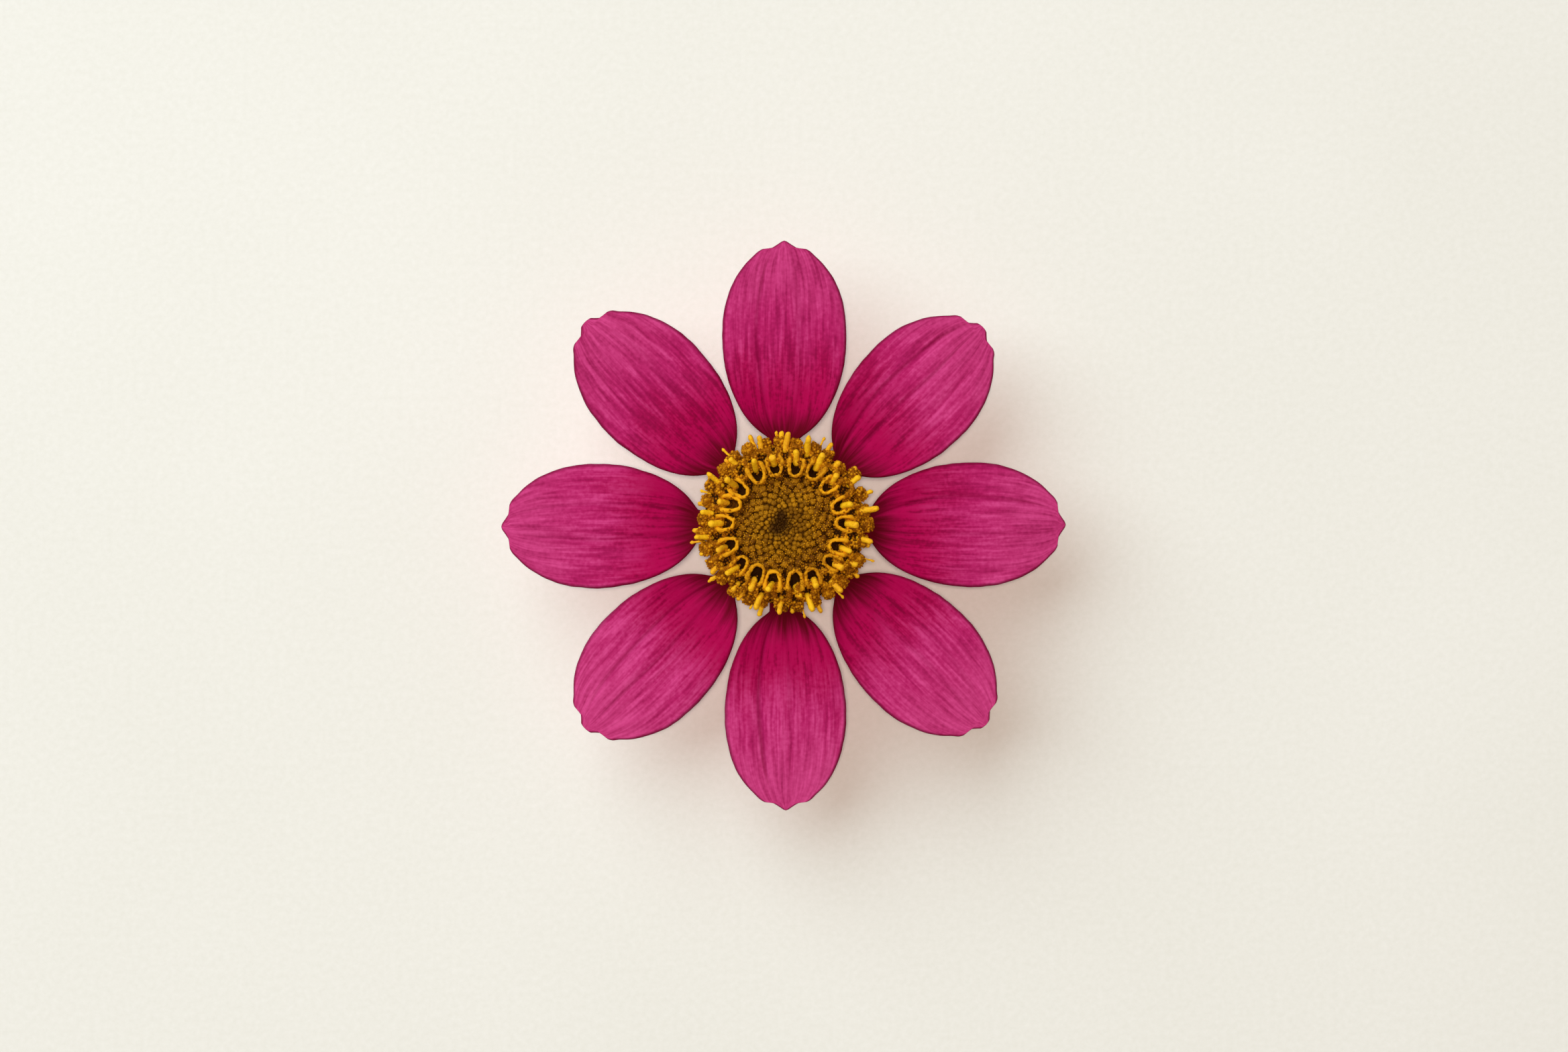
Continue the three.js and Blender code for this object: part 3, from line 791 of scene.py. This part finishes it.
def rod_shape():
    """A ring of rods: the joined anthers that stand in the florets' mouths, or the thin bent styles."""
    shape = Shape(
        "Rods",
        count="Count, Seed",
        angle="Lean, Lean spread",
        length="Foot radius, Foot height, Long, Thick",
        number="Phase, Scatter, Long spread, Bend, Knob",
    )
    tall, thick, bend, knob, seed = shape.given("Long", "Thick", "Bend", "Knob", "Seed")

    def section(angle, share):
        along = 0.5 - cos(share * math.pi) * 0.5
        end = unsigned(along * 2.0 - 1.0)
        round_end = root(1.0 - end**8.0)
        waist = 1.0 - along * 0.22 + bell(along, 0.88, 0.1) * knob
        push = along * along * tall * bend
        return thick * round_end * waist, along * tall, push

    rod = shape.turned(12, 16, section)
    points, heading, lean = ring(shape, 0.12 * MM, lean_seed=6)
    stretch = 1.0 + shape.random(-1.0, 1.0, seed + 7) * shape.given("Long spread")
    girth = shape.random(0.88, 1.12, seed + 8)
    swing = shape.random(-0.22, 0.22, seed + 9)
    rods = shape.copies(rod, points, (swing, lean, heading), shape.vector(girth, girth, stretch))
    rods = shape.varied(rods, seed + 10)
    return shape.finish(shape.roughened(shape.real(rods), 0.2 * MM, 2.6 / MM))


class ZINNIA_OT_bud_field(bpy.types.Operator):
    """Make the field of unopened florets"""

    bl_idname = "zinnia.bud_field"
    bl_label = "Bud field"

    def execute(self, context):
        settings = context.scene.zinnia_disc
        sizes = {"count": settings.bud_count, "crowding": settings.bud_crowding}
        sizes["bead"] = settings.bead * BUD_BEAD
        grown("bud_field", bud_shape(), "bud", ["disc_buds"], **sizes, material=bud_material(settings))
        return {"FINISHED"}


class ZINNIA_OT_open_florets(bpy.types.Operator):
    """Make the disc's body and its three rings of open florets"""

    bl_idname = "zinnia.open_florets"
    bl_label = "Open florets"

    heads = (
        "count foot_radius:mm foot_height:mm lean:degrees lean_spread:degrees tall:mm mouth:mm wall:mm "
        "stretch:mm gape lobing graininess"
    )
    rows = {
        "inner_florets": (18, 5.45, 13.7, 12, 6, 1.8, 0.62, 0.17, 0.78, 1.0, 0.0, 0.15),
        "middle_florets": (18, 6.85, 13.6, 12, 8, 1.25, 0.72, 0.25, 0.15, 0.5, 0.04, 1.0),
        "outer_florets": (31, 7.35, 12.9, 58, 12, 1.75, 0.4, 0.27, 0.0, 0.0, 0.1, 1.0),
    }

    def execute(self, context):
        settings = context.scene.zinnia_disc
        common = {"bead": settings.bead, "material": floret_material(settings)}
        grown("disc_body", body_shape(), "floret", ["disc_florets"], seed=FLORET_SEED, **common)
        shape = floret_shape()
        for number, (name, sizes) in enumerate(table(self.heads, self.rows).items()):
            phase = 0.5 * (number % 2)
            seed = FLORET_SEED + RING_SEEDS * number
            grown(name, shape, "floret", **sizes, phase=phase, scatter=RING_SCATTER, seed=seed, **common)
        return {"FINISHED"}


class ZINNIA_OT_anthers(bpy.types.Operator):
    """Make the rods of anthers and the thin styles"""

    bl_idname = "zinnia.anthers"
    bl_label = "Anthers and styles"

    # ring: the number of the row of florets whose headings these keep
    heads = (
        "foot_radius:mm foot_height:mm lean:degrees lean_spread:degrees long:mm long_spread thick:mm bend "
        "knob count phase ring"
    )
    rows = {
        "inner_anthers": (6.4, 14.5, 46, 26, 2.1, 0.35, 0.39, 0.05, 0.1, 18, 0.0, 0),
        "middle_anthers": (7.6, 14.0, 60, 14, 2.0, 0.35, 0.34, 0.05, 0.1, 18, 0.5, 1),
        "outer_anthers": (8.0, 13.4, 76, 8, 1.7, 0.3, 0.27, 0.05, 0.2, 20, 0.25, 2),
        "styles": (8.4, 13.45, 76, 10, 1.6, 0.3, 0.12, 0.2, 0.7, 12, 0.3, 3),
    }

    def execute(self, context):
        settings = context.scene.zinnia_disc
        material = anther_material(settings)
        shape = rod_shape()
        for name, sizes in table(self.heads, self.rows).items():
            seed = FLORET_SEED + RING_SEEDS * sizes.pop("ring")
            grown(name, shape, "floret", **sizes, scatter=RING_SCATTER, seed=seed, material=material)
        return {"FINISHED"}


# ---- Green parts ----

CUP_BASE_RADIUS = 2.9 * MM
CUP_BASE_HEIGHT = 3.3 * MM
CUP_RIM_RADIUS = 6.45 * MM
CUP_RIM_HEIGHT = 10.2 * MM
CUP_POCKET_RADIUS = 5.7 * MM
CUP_FLOOR_HEIGHT = 7.9 * MM
BRACTS_PER_WHORL = 11
BRACT_SEED = 31
BRACT_REACH = 0.62  # from a bract's middle to its edge, as a share of the whorl's step
BRACT_RIM = 0.25 * MM  # how far in from its edge it thins
BRACT_HEADS = "foot:mm tip:mm phase"  # heights, and the whorl's turn in bracts
BRACT_WHORLS = {"bracts_1": (3.5, 6.0, 0.0), "bracts_2": (4.4, 8.4, 0.5), "bracts_3": (6.0, 10.85, 0.0)}
STEM_RADIUS = 2.6 * MM
STEM_TOP_RADIUS = 2.85 * MM
STEM_BEVEL = 0.06 * MM
STEM_OVERLAP = 0.5 * MM  # how far the stub goes on into the cup
STEM_RIBS = 12.0
STEM_RIB_HEIGHT = 0.05 * MM
HAIR_SPACING = 0.28 * MM
MOST_HAIRS = 6 / MM**2
HAIR_TIP = 0.004 * MM
HAIR_FOOT = 0.022 * MM


class ZinniaGreens(bpy.types.PropertyGroup):
    """Sizes and colours of the cup of bracts and the stem"""

    bract_thickness: length_setting("Bract", "Thickness of a bract", 0.3 * MM)
    hair: length_setting("Hair", "Length of the stem's hairs", 0.55 * MM)
    bract_green: colour_setting("Bracts", "Middle of a bract", 112, 138, 62)
    bract_edge: colour_setting("Bract edge", "Dry edge of a bract", 58, 40, 26)
    stem_green: colour_setting("Stem", "Skin of the stem", 122, 148, 74)
    pith: colour_setting("Pith", "Inside of the stem", 214, 222, 176)


def cup_radius(height):
    """The cup's outer radius at a height: a rounded bowl on the stem."""
    share = clamp((height - CUP_BASE_HEIGHT) / (CUP_RIM_HEIGHT - CUP_BASE_HEIGHT))
    return arc(1.0 - share) * (CUP_RIM_RADIUS - CUP_BASE_RADIUS) + CUP_BASE_RADIUS


def cup_shape():
    """The bowl that the bracts grow on, with the pocket that holds petals and disc."""
    shape = Shape("Cup")

    def section(angle, share):
        base, wall, rim, pocket, floor = stages(share, 0.1, 0.6, 0.7, 0.85, 1.0)
        height = wall * (CUP_RIM_HEIGHT - CUP_BASE_HEIGHT) + CUP_BASE_HEIGHT
        radius = cup_radius(height) * base + rim * (CUP_POCKET_RADIUS - CUP_RIM_RADIUS)
        radius = radius - floor * CUP_POCKET_RADIUS
        return radius, height - pocket * (CUP_RIM_HEIGHT - CUP_FLOOR_HEIGHT), 0.0

    return shape.finish(shape.turned(72, 40, section, edge=MM, across=lambda angle, share: angle * 3.0))


def bract_shape():
    """A whorl of blunt bracts pressed to the cup, each with a thin dry edge and overlapping the next."""
    shape = Shape("Bracts", count="Count, Seed", number="Phase", length="Foot, Tip, Thickness")
    count, phase, seed = shape.given("Count", "Phase", "Seed")
    foot, tip, thickness = shape.given("Foot", "Tip", "Thickness")
    grid, across, share = shape.sheet(20, 24)
    end = clamp((share - 0.45) / 0.55)
    half_turn = arc(end) * (BRACT_REACH * TURN) / count
    narrowing = blend(smooth(share, 0.0, 0.4), 0.8, 1.0)
    angle = across * half_turn * narrowing
    bulge = 1.0 - across * across * (0.12 * share)
    height = foot + (tip - foot) * share * bulge
    edge = (1.0 - unsigned(across)) * half_turn * cup_radius(height)
    ribs = shape.sway(across * 6.0, share * 1.5, 3.0) * (0.14 * MM)
    off = share * (0.62 * MM) - (1.0 - share) * (0.25 * MM) + across * (0.16 * MM) + ribs
    off = off + bell(share, 1.0, 0.25) * (0.12 * MM) - across * across * (0.18 * MM)
    rim = arc(1.0 - clamp(edge / BRACT_RIM))
    half_thick = thickness * 0.5 * rim * root(clamp(share * 12.0))
    grid = shape.store(grid, across=across, edge=edge, reach=share)

    def skin(lift):
        radius = cup_radius(height) + off + lift
        return shape.placed(grid, shape.polar(radius, angle, height))

    bract = shape.merged(shape.joined(skin(half_thick), shape.flipped(skin(half_thick * -1.0))))
    heading = (shape.index() + phase + shape.random(-0.06, 0.06, seed)) * TURN / count
    size = shape.random(0.985, 1.015, seed + 1)
    bracts = shape.copies(bract, shape.points(count, (0.0, 0.0, 0.0)), (0.0, 0.0, heading), size)
    return shape.finish(shape.store(bracts, "INSTANCE", seed=shape.random(0.0, 9.0, seed + 2)))


def stem_shape():
    """The stub of stem: ribbed, with a few hairs, cut flat below."""
    shape = Shape("Stem", length="Height, Hair", count="Seed")
    tall, hair, seed = shape.given("Height", "Hair", "Seed")

    def section(angle, share):
        cut, corner, wall, top = stages(share, 0.2, 0.25, 0.85, 1.0)
        radius = cut * (STEM_RADIUS - STEM_BEVEL) + corner * STEM_BEVEL
        radius = radius + smooth(wall, 0.3, 1.0) * (STEM_TOP_RADIUS - STEM_RADIUS)
        ribs = cos(angle * STEM_RIBS) * STEM_RIB_HEIGHT * cut
        height = corner * STEM_BEVEL + wall * (tall - STEM_BEVEL)
        return (radius + ribs) * (1.0 - top), height, 0.0

    def side(angle, share):
        """1 on the skin, 0 on the cut and inside the cup."""
        return between(share, 0.24, 0.3, 0.8, 0.86)

    stem = shape.turned(96, 60, section, side=side)
    points = shape.scattered(stem, HAIR_SPACING, MOST_HAIRS, shape.attribute("side"), seed)
    x, y, _ = shape.parts(shape.position())
    heading = shape.math("ARCTAN2", y, x)
    lean = shape.random(0.9, 1.45, seed + 1)
    inputs = {"Vertices": 4, "Radius Top": HAIR_TIP, "Radius Bottom": HAIR_FOOT, "Depth": hair}
    cone = shape.field("GeometryNodeMeshCone", inputs)
    size = shape.random(0.6, 1.2, seed + 2)
    turns = (0.0, lean, heading + shape.random(-0.4, 0.4, seed + 3))
    hairs = shape.copies(cone, points, turns, size)
    return shape.finish(stem, shape.store(hairs, "INSTANCE", side=2.0))


class ZINNIA_OT_involucre(bpy.types.Operator):
    """Make the green cup and its three whorls of bracts"""

    bl_idname = "zinnia.involucre"
    bl_label = "Cup of bracts"

    def execute(self, context):
        settings = context.scene.zinnia_greens
        material = bract_material(settings)
        grown("cup", cup_shape(), "bract", ["involucre"], material=material)
        shape = bract_shape()
        common = {"count": BRACTS_PER_WHORL, "thickness": settings.bract_thickness, "material": material}
        for number, (name, sizes) in enumerate(table(BRACT_HEADS, BRACT_WHORLS).items()):
            grown(name, shape, "bract", **sizes, seed=BRACT_SEED + 10 * number, **common)
        return {"FINISHED"}


class ZINNIA_OT_stem(bpy.types.Operator):
    """Make the stub of stem"""

    bl_idname = "zinnia.stem"
    bl_label = "Stem"

    def execute(self, context):
        settings = context.scene.zinnia_greens
        low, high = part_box("stem")
        sizes = {"height": high.z - low.z + STEM_OVERLAP, "hair": settings.hair, "seed": BRACT_SEED}
        grown("stem_stub", stem_shape(), "stem", ["stem"], **sizes, material=stem_material(settings))
        return {"FINISHED"}


# ---- Materials ----


class Paint(Graph):
    """A material under construction round one Principled shader."""

    def __init__(self, name, roughness, specular):
        self.material = bpy.data.materials.new(name)
        self.material.use_nodes = True
        super().__init__(self.material.node_tree)
        self.shader = self.tree.nodes["Principled BSDF"]
        self.shader.inputs["Roughness"].default_value = roughness
        self.shader.inputs["Specular IOR Level"].default_value = specular

    place = one_node("ShaderNodeTexCoord", output=3)

    def attribute(self, name):
        return self.field("ShaderNodeAttribute", output=2, attribute_name=name)

    def attributes(self, *names):
        return [self.attribute(name) for name in names]

    def grains(self, scale, detail=2.0, roughness=0.5):
        """Noise in the round, with about scale grains to the millimetre."""
        return self.noise(self.place(), scale / MM, detail, roughness)

    def mixed(self, share, first, second):
        """Two colours, each a field or a plain colour, mixed by a share of the second."""
        first, second = (value if isinstance(value, Field) else (*value, 1.0) for value in (first, second))
        inputs = {0: share, 6: first, 7: second}
        return self.field("ShaderNodeMix", inputs, output=2, data_type="RGBA")

    def done(self, height, bump, colour, *coats):
        """The material: a relief that is bump deep, and a colour under coats, each a share and a colour."""
        for share, coat in coats:
            colour = self.mixed(share, colour, coat)
        normal = self.field("ShaderNodeBump", {"Strength": 1.0, "Distance": bump, "Height": height})
        self.tree.links.new(colour.socket, self.shader.inputs["Base Color"])
        self.tree.links.new(normal.socket, self.shader.inputs["Normal"])
        return self.material


FINE_RELIEF = 0.02 * MM
BUD_RELIEF = 0.05 * MM
COARSE_RELIEF = 0.08 * MM
# Zones of a petal's colours, as distances from the axis: where each starts and where it is full. The throat
# zone is painted shade under the florets.
THROAT_SHADE_ZONE = (13.2 * MM, 9.2 * MM)
BASE_ZONE = (21.5 * MM, 13.5 * MM)
TIP_ZONE = (20 * MM, 28 * MM)
CLEAR_ZONE = (13 * MM, 21 * MM)  # where pale veins take over from dark ones
BRACT_RIB = linear(166, 184, 110)
BRACT_GROOVE = linear(64, 88, 34)
STEM_STREAK = linear(156, 176, 104)
CUT_RING = linear(150, 172, 96)
HAIR_COLOUR = linear(226, 230, 206)


def petal_material(settings):
    """Rose blade: deeper towards the disc, with pale and dark veins along it; painted shade under the
    florets, in the creases and along a thin dark edge.
    """
    paint = Paint("petal", 0.75, specular=0.05)
    across, reach, seed = paint.attributes("across", "reach", "seed")

    def streaks(across_scale, along_scale, shift, detail):
        """Noise drawn out along the blade."""
        place = paint.vector(across * across_scale, reach * (along_scale / MM), seed + shift)
        return paint.noise(place, detail=detail, roughness=0.65)

    fine = streaks(18.0, 0.24, 40.0, 1.2)
    broad = streaks(11.0, 0.12, 50.0, 2.0)
    cloud = streaks(2.6, 0.12, 60.0, 2.0) - 0.5
    grain = paint.grains(2.6, detail=1.5)
    # painted shade on the blade under the florets, deepest at the disc
    throat_shade = smooth(reach + (broad - 0.5) * (5.0 * MM), *THROAT_SHADE_ZONE)
    base = smooth(reach + cloud * (9.0 * MM), *BASE_ZONE)
    tip = smooth(reach + cloud * (8.0 * MM), *TIP_ZONE)
    clear = smooth(reach, *CLEAR_ZONE)
    level = 0.1 + fine * 0.8 + (broad - 0.5) * 0.6 + (grain - 0.5) * 0.45 + cloud * 0.3
    level = level + paint.attribute("pallor")
    veins = smooth(level, 0.56, 0.28) * (1.0 - clear) * 0.42
    crease = clamp(paint.attribute("crease") / (0.16 * MM))
    # painted shade along the blade's thin edge
    edge = smooth(paint.attribute("edge"), 0.42 * MM, 0.12 * MM) * smooth(reach, 8 * MM, 11 * MM)
    return paint.done(
        fine + grain * 0.8,
        FINE_RELIEF,
        settings.rose,
        (tip, settings.tip),
        (base, settings.base),
        (smooth(level, 0.4, 0.9) * blend(clear, 0.04, 0.85), settings.streak),
        (smooth(level, 0.52, 0.12) * 0.65, settings.shade),
        # painted shade in the creases
        (crease * 0.5, settings.shade),
        (paint.math("MAXIMUM", throat_shade, veins), settings.throat_shade),
        (paint.attribute("under") * 0.75, settings.underside),
        # painted shade along the thin edge
        (edge * 0.6, settings.throat_shade),
    )


def floret_material(settings):
    """Golden rims over brown walls and dark pits; the brown and the dark are partly painted shade,
    deepening down the walls and into the pits.
    """
    paint = Paint("floret", 0.75, specular=0.06)
    tone, grain = paint.attributes("tone", "grain")
    speckle = paint.grains(3.5, roughness=0.6)
    light = tone + (speckle - 0.5) * 0.7 + (grain - 0.5) * 0.45
    # painted shade: brown low on the walls, darkest in the pits and at the feet; gold on the rims
    brown = (smooth(light, 0.05, 0.6), settings.brown_gold)
    gold = (smooth(light, 0.5, 0.95), settings.gold)
    return paint.done(speckle, COARSE_RELIEF, settings.shade_and_heart, brown, gold)


def anther_material(settings):
    """Bright yellow rods, dusty with pollen."""
    paint = Paint("anther", 0.65, specular=0.2)
    speckle = paint.grains(4.0, roughness=0.6)
    light = speckle + (paint.attribute("grain") - 0.5) * 0.35
    yellow = (smooth(light, 0.2, 0.62), settings.anther)
    return paint.done(speckle, COARSE_RELIEF, settings.gold, yellow)


def bud_material(settings):
    """Olive-gold buds, browner at the edge of their field and dark in its centre, with painted shade low on
    the buds and between them and painted highlights on their tops.
    """
    paint = Paint("bud", 0.65, specular=0.06)
    tone, grain = paint.attributes("tone", "grain")
    x, y, _ = paint.parts(paint.place())
    away = root(x * x + y * y)
    patch = paint.grains(0.9) - 0.5
    speckle = paint.grains(7.0, detail=1.0) - 0.5
    rim = smooth(away + patch * (2.2 * MM), 2.9 * MM, 4.3 * MM)
    light = tone + speckle * 0.6 + (grain - 0.5) * 0.35
    x, y = x + HEART_PLACE[0], y + HEART_PLACE[1]
    along = x * math.cos(HEART_TURN) + y * math.sin(HEART_TURN)
    aside = y * math.cos(HEART_TURN) - x * math.sin(HEART_TURN)
    from_heart = root(along * along * 0.35 + aside * aside)
    centre = smooth(from_heart + patch * (1.2 * MM), 1.3 * MM, 0.5 * MM)
    # the dark heart, and painted shade low on the buds and between them
    dark = paint.math("MAXIMUM", centre * 0.9, smooth(light, 0.62, 0.1) * 0.55)
    return paint.done(
        speckle,
        BUD_RELIEF,
        settings.bud,
        (rim, settings.bud_rim),
        # painted highlights on the buds' tops and grains
        (smooth(light, 0.75, 1.4) * 0.55, settings.gold),
        (dark, settings.shade_and_heart),
    )


def bract_material(settings):
    """Green bract with faint ribs and a thin dry brown edge."""
    paint = Paint("bract", 0.55, specular=0.3)
    across, edge, seed = paint.attributes("across", "edge", "seed")
    ribs = paint.noise(paint.vector(across * 9.0, paint.attribute("reach") * 2.0, seed), detail=2.0)
    mottle = paint.grains(1.6, detail=3.0, roughness=0.6)
    light = smooth(ribs + mottle * 0.4, 0.55, 1.0)
    dry = smooth(edge + (mottle - 0.5) * (0.25 * MM), 0.32 * MM, 0.16 * MM)
    return paint.done(
        ribs + mottle,
        COARSE_RELIEF,
        settings.bract_green,
        (light * 0.5, BRACT_RIB),
        (smooth(ribs, 0.5, 0.25) * 0.6, BRACT_GROOVE),
        (dry, settings.bract_edge),
    )


def stem_material(settings):
    """Green ribbed skin with pale hairs; the cut shows pith in a greener ring."""
    paint = Paint("stem", 0.55, specular=0.3)
    x, y, z = paint.parts(paint.place())
    away = root(x * x + y * y)
    fibre = paint.noise(paint.vector(paint.math("ARCTAN2", y, x) * 9.0, z * (0.4 / MM), 0.0), detail=3.0)
    mottle = paint.grains(2.2, detail=3.0, roughness=0.6)
    ring = smooth(away + (mottle - 0.5) * (0.4 * MM), 1.7 * MM, 2.1 * MM)
    return paint.done(
        fibre + mottle,
        COARSE_RELIEF,
        settings.stem_green,
        (smooth(fibre, 0.35, 0.7), STEM_STREAK),
        (smooth(z, 0.05 * MM, 0.02 * MM), paint.mixed(ring, settings.pith, CUT_RING)),
        (smooth(paint.attribute("side"), 1.2, 1.8), HAIR_COLOUR),
    )


def paper_material(settings):
    """Warm white paper with a fine tooth."""
    paint = Paint("paper", 0.85, specular=0.1)
    tooth = paint.grains(1.5, detail=4.0, roughness=0.7)
    cloud = paint.grains(0.02) - 0.5
    shade = clamp(0.5 + cloud * 0.6 + (tooth - 0.5) * 1.2)
    return paint.done(tooth, FINE_RELIEF, settings.paper, (shade, settings.paper_light))


# ---- Stage ----


class ZinniaStage(bpy.types.PropertyGroup):
    """Paper, lamps, sky and camera"""

    paper: colour_setting("Paper", "The surface below", 236, 233, 223)
    paper_light: colour_setting("Light paper", "Its lightest fibres", 248, 245, 238)
    floor_size: length_setting("Floor", "Side of the surface below", 6.0)
    lens: bpy.props.FloatProperty(name="Lens", description="Focal length", default=100.0, unit="CAMERA")
    camera_height: length_setting("Camera height", "Above the petals", 460 * MM)
    key_power: bpy.props.FloatProperty(
        name="Key lamp", description="Power of the large lamp", default=15.2, unit="POWER"
    )
    top_power: bpy.props.FloatProperty(
        name="Top lamp", description="Power of the lamp above", default=3.93, unit="POWER"
    )
    fill_strength: bpy.props.FloatProperty(
        name="Fill", description="Strength of the sky", default=0.08, min=0.0
    )


PETAL_PLANE = 11.7 * MM  # height at which the camera's view is 165.6 mm wide
CAMERA_AIM = (-0.035 * MM, -0.14 * MM)
KEY_PLACE = (-0.6, 0.6, 0.87)  # upper left, high
KEY_SIZE = 1.45
KEY_COLOUR = (0.77, 0.92, 1.0)
TOP_PLACE = (-0.005, 0.005, 0.9)  # beside the camera, so that its own shadows hardly show
TOP_SIZE = 0.065
TOP_COLOUR = (1.0, 0.843, 0.715)
SKY_COLOUR = (1.0, 0.95, 0.9, 1.0)


class ZINNIA_OT_stage(bpy.types.Operator):
    """Make the paper, the two lamps, the sky and the camera"""

    bl_idname = "zinnia.stage"
    bl_label = "Stage"

    def execute(self, context):
        settings = context.scene.zinnia_stage
        scene = context.scene
        half = settings.floor_size / 2
        mesh = bpy.data.meshes.new("paper_floor")
        corners = [(-half, -half, 0), (half, -half, 0), (half, half, 0), (-half, half, 0)]
        mesh.from_pydata(corners, [], [(0, 1, 2, 3)])
        mesh.materials.append(paper_material(settings))
        floor = added("paper_floor", mesh)

        lamps = (
            ("key_lamp", KEY_PLACE, KEY_SIZE, KEY_COLOUR, settings.key_power),
            ("top_lamp", TOP_PLACE, TOP_SIZE, TOP_COLOUR, settings.top_power),
        )
        for name, place, size, colour, power in lamps:
            data = bpy.data.lights.new(name, "AREA")
            data.shape = "DISK"
            data.size = size
            data.energy = power
            data.color = colour
            lamp = added(name, data)
            lamp.location = place
            lamp.rotation_euler = lamp.location.to_track_quat("Z", "Y").to_euler()

        world = bpy.data.worlds.new("soft_sky")
        world.use_nodes = True
        background = world.node_tree.nodes["Background"]
        background.inputs["Color"].default_value = SKY_COLOUR
        background.inputs["Strength"].default_value = settings.fill_strength
        scene.world = world

        camera = added("camera", bpy.data.cameras.new("camera"))
        camera.data.lens = settings.lens
        camera.location = (*CAMERA_AIM, PETAL_PLANE + settings.camera_height)
        scene.camera = camera
        scene.view_settings.view_transform = "Standard"
        scene.view_settings.look = "None"
        return {"FINISHED"}


# ---- The add-on ----

PIECE_OPERATORS = (
    ZINNIA_OT_stem,
    ZINNIA_OT_involucre,
    ZINNIA_OT_petals,
    ZINNIA_OT_bud_field,
    ZINNIA_OT_open_florets,
    ZINNIA_OT_anthers,
    ZINNIA_OT_stage,
)
SETTINGS = {
    "zinnia_petals": ZinniaPetals,
    "zinnia_disc": ZinniaDisc,
    "zinnia_greens": ZinniaGreens,
    "zinnia_stage": ZinniaStage,
}


class ZINNIA_PT_flower(bpy.types.Panel):
    """Lists the flower's settings and operators"""

    bl_idname = "ZINNIA_PT_flower"
    bl_label = "Zinnia flower head"
    bl_space_type = "VIEW_3D"
    bl_region_type = "UI"
    bl_category = "Zinnia"

    def draw(self, context):
        for name, group in SETTINGS.items():
            box = self.layout.box()
            box.label(text=group.__doc__)
            for label in group.__annotations__:
                box.prop(getattr(context.scene, name), label)
        for operator in PIECE_OPERATORS:
            self.layout.operator(operator.bl_idname)


CLASSES = (*SETTINGS.values(), *PIECE_OPERATORS, ZINNIA_PT_flower)


def register():
    for item in CLASSES:
        bpy.utils.register_class(item)
    for name, group in SETTINGS.items():
        setattr(bpy.types.Scene, name, bpy.props.PointerProperty(type=group))


def unregister():
    for name in SETTINGS:
        delattr(bpy.types.Scene, name)
    for item in reversed(CLASSES):
        bpy.utils.unregister_class(item)


def main():
    register()
    for operator in PIECE_OPERATORS:
        group, name = operator.bl_idname.split(".")
        getattr(getattr(bpy.ops, group), name)()


if __name__ == "__main__":
    main()
